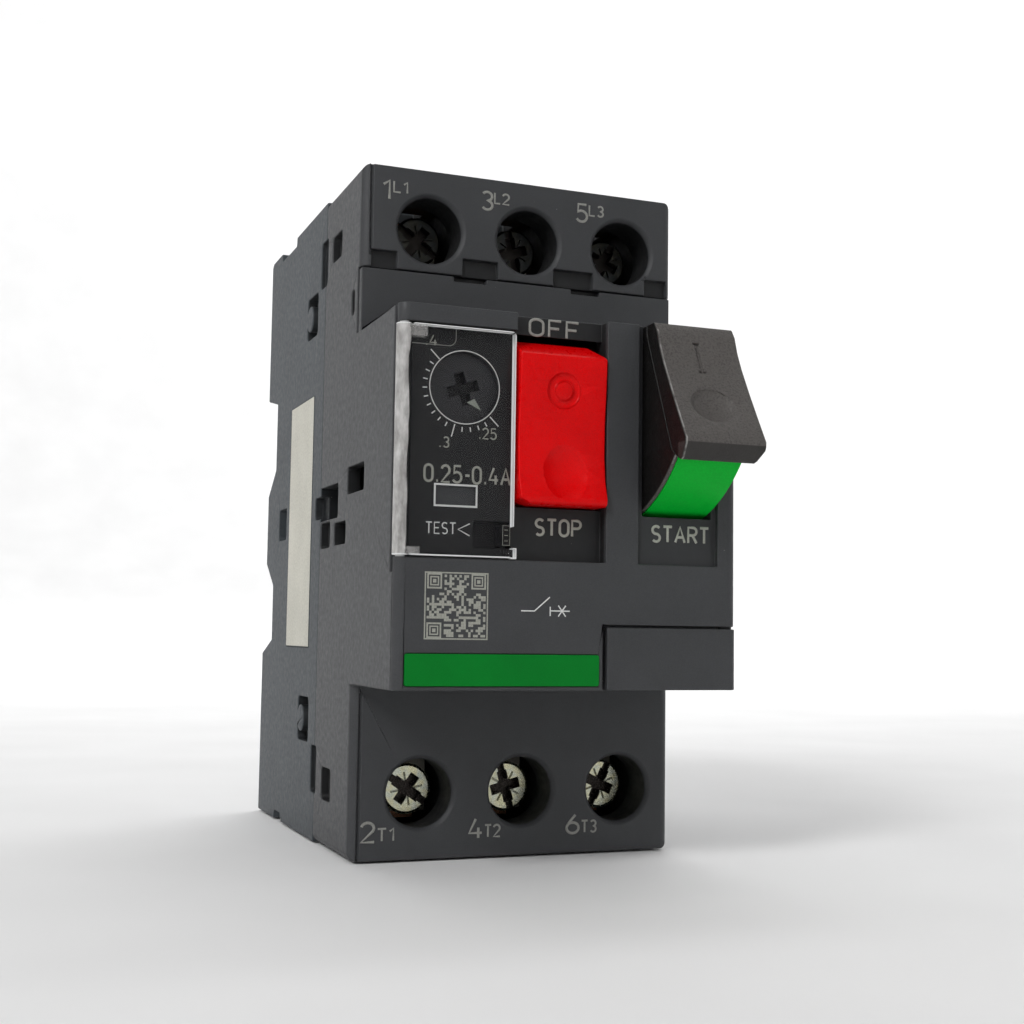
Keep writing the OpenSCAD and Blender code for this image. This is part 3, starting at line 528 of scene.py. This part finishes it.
# ---- Front print: a meaningless module pattern and the switch symbol ----


def square(x, z, size):
    return [(x, z), (x + size, z), (x + size, z + size), (x, z + size)]


def ring(x, z, size, width):
    """Four bars that frame a square."""
    outer, inner = square(x, z, size), square(x + width, z + width, size - 2 * width)
    return [[outer[i], outer[i - 3], inner[i - 3], inner[i]] for i in range(4)]


TILE_X, TILE_Z, TILE = -18.7, 27.85, 7.8
step = TILE / 26
pattern = ring(TILE_X, TILE_Z, TILE, 0.16)
for cx, cz in ((1, 1), (1, 20), (19, 20)):
    x, z = TILE_X + cx * step, TILE_Z + (cz - 0.5) * step
    pattern += ring(x, z, 6 * step, 0.2) + ring(x + 1.2 * step, z + 1.2 * step, 3.6 * step, 0.16)
    pattern.append(square(x + 2.3 * step, z + 2.3 * step, 1.4 * step))
seed = random.Random(11)
for i in range(1, 25):
    for j in range(1, 25):
        in_corner = (i < 8 and (j < 8 or j > 17)) or (i > 17 and j > 17)
        if not in_corner and seed.random() < 0.52:
            pattern.append(square(TILE_X + i * step, TILE_Z + j * step, step * 0.98))
plate("pattern_block", pattern, FRONT - 0.02, "print", "housing")

symbol = [
    [(-6.75, 31.35), (-5.03, 31.35), (-3.09, 33.02)],
    [(-3.02, 30.79), (-3.02, 31.89)],
    [(-3.02, 31.4), (-0.51, 31.4)],
    [(-1.98, 30.75), (-1.02, 32.05)],
    [(-1.98, 32.05), (-1.02, 30.75)],
]
strokes("switch_symbol", symbol, FRONT, 0.15, "white", "housing", 0.2)

# ---- Studio ----


def studio():
    """A pale bowl: a level floor that curves up into a wall all round."""
    rim = [(0.0, 0.0), (0.4, 0.0), (0.9, 0.0)]
    rim += [(0.9 + 0.5 * math.sin(math.radians(a)), 0.5 - 0.5 * math.cos(math.radians(a))) for a in range(9, 91, 9)]
    rim += [(1.4, 1.4)]
    bm = bmesh.new()
    rings, sides = [], 72
    for r, z in rim:
        turns = [math.tau * i / sides for i in range(1 if r == 0 else sides)]
        rings.append([bm.verts.new((r * math.cos(a), r * math.sin(a), z)) for a in turns])
    for a, b in zip(rings, rings[1:]):
        for i in range(sides):
            j = (i + 1) % sides
            bm.faces.new([a[0], b[i], b[j]] if len(a) == 1 else [a[i], b[i], b[j], a[j]])
    mesh = bpy.data.meshes.new("floor")
    bm.to_mesh(mesh)
    bm.free()
    mesh.polygons.foreach_set("use_smooth", [True] * len(mesh.polygons))
    s = Shader("pale_floor")
    tint = s.span(s.noise(0.02, 2.0), 0.3, 0.7)
    mesh.materials.append(
        s.finish(Base_Color=s.blend(tint, (0.86, 0.86, 0.86), (0.9, 0.9, 0.9)), Roughness=0.8, Specular_IOR_Level=0.1)
    )
    obj = bpy.data.objects.new("floor", mesh)
    bpy.context.scene.collection.objects.link(obj)
    obj.location = (mid_x, ORIGIN.y + 0.03, cad_box[0][2] - 0.0003)


def softbox(name, spot, aim, size, power):
    light = bpy.data.lights.new(name, "AREA")
    light.shape = "RECTANGLE"
    light.size, light.size_y = size
    light.energy = power
    obj = bpy.data.objects.new(name, light)
    bpy.context.scene.collection.objects.link(obj)
    obj.location = spot
    obj.rotation_euler = (Vector(aim) - Vector(spot)).to_track_quat("-Z", "Y").to_euler()


studio()
centre = at(0, 20, 45)
softbox("key", centre + Vector((-0.64, -0.52, 0.6)), centre, (0.26, 0.32), 4.5)
softbox("front_low", centre + Vector((-0.2, -0.9, 0.1)), centre, (0.5, 0.4), 0.15)
softbox("right_fill", centre + Vector((0.8, -0.4, 0.3)), centre, (0.4, 0.6), 0.4)
softbox("top", centre + Vector((0.1, 0.1, 0.95)), centre, (0.8, 0.8), 1.0)
softbox("back", centre + Vector((0.3, 0.9, 0.4)), centre, (0.6, 0.6), 1.0)
softbox("wall_wash", centre + Vector((0.35, 0.45, 0.95)), centre + Vector((0.35, 1.4, 0.1)), (1.2, 0.6), 9.0)
world = bpy.data.worlds.new("studio")
world.use_nodes = True
world.node_tree.nodes["Background"].inputs[0].default_value = (1, 1, 1, 1)
world.node_tree.nodes["Background"].inputs[1].default_value = 0.16
bpy.context.scene.world = world
bpy.context.scene.view_settings.view_transform = "Standard"

camera = bpy.data.objects.new("camera", bpy.data.cameras.new("camera"))
bpy.context.scene.collection.objects.link(camera)
camera.data.sensor_width = 36
camera.data.lens = 50.31
camera.data.shift_x = -0.0041
camera.data.shift_y = 0.0088
camera.data.clip_start = 0.01
forward = Vector((0.36045, 0.9295, 0.07815)).normalized()
right = Vector((0.93185, -0.36256, 0.01421)).normalized()
up = right.cross(forward)
turn = Matrix((right, up, -forward)).transposed().to_4x4()
camera.matrix_world = Matrix.Translation(at(-68.5, -175.5, 28.7)) @ turn
bpy.context.scene.camera = camera
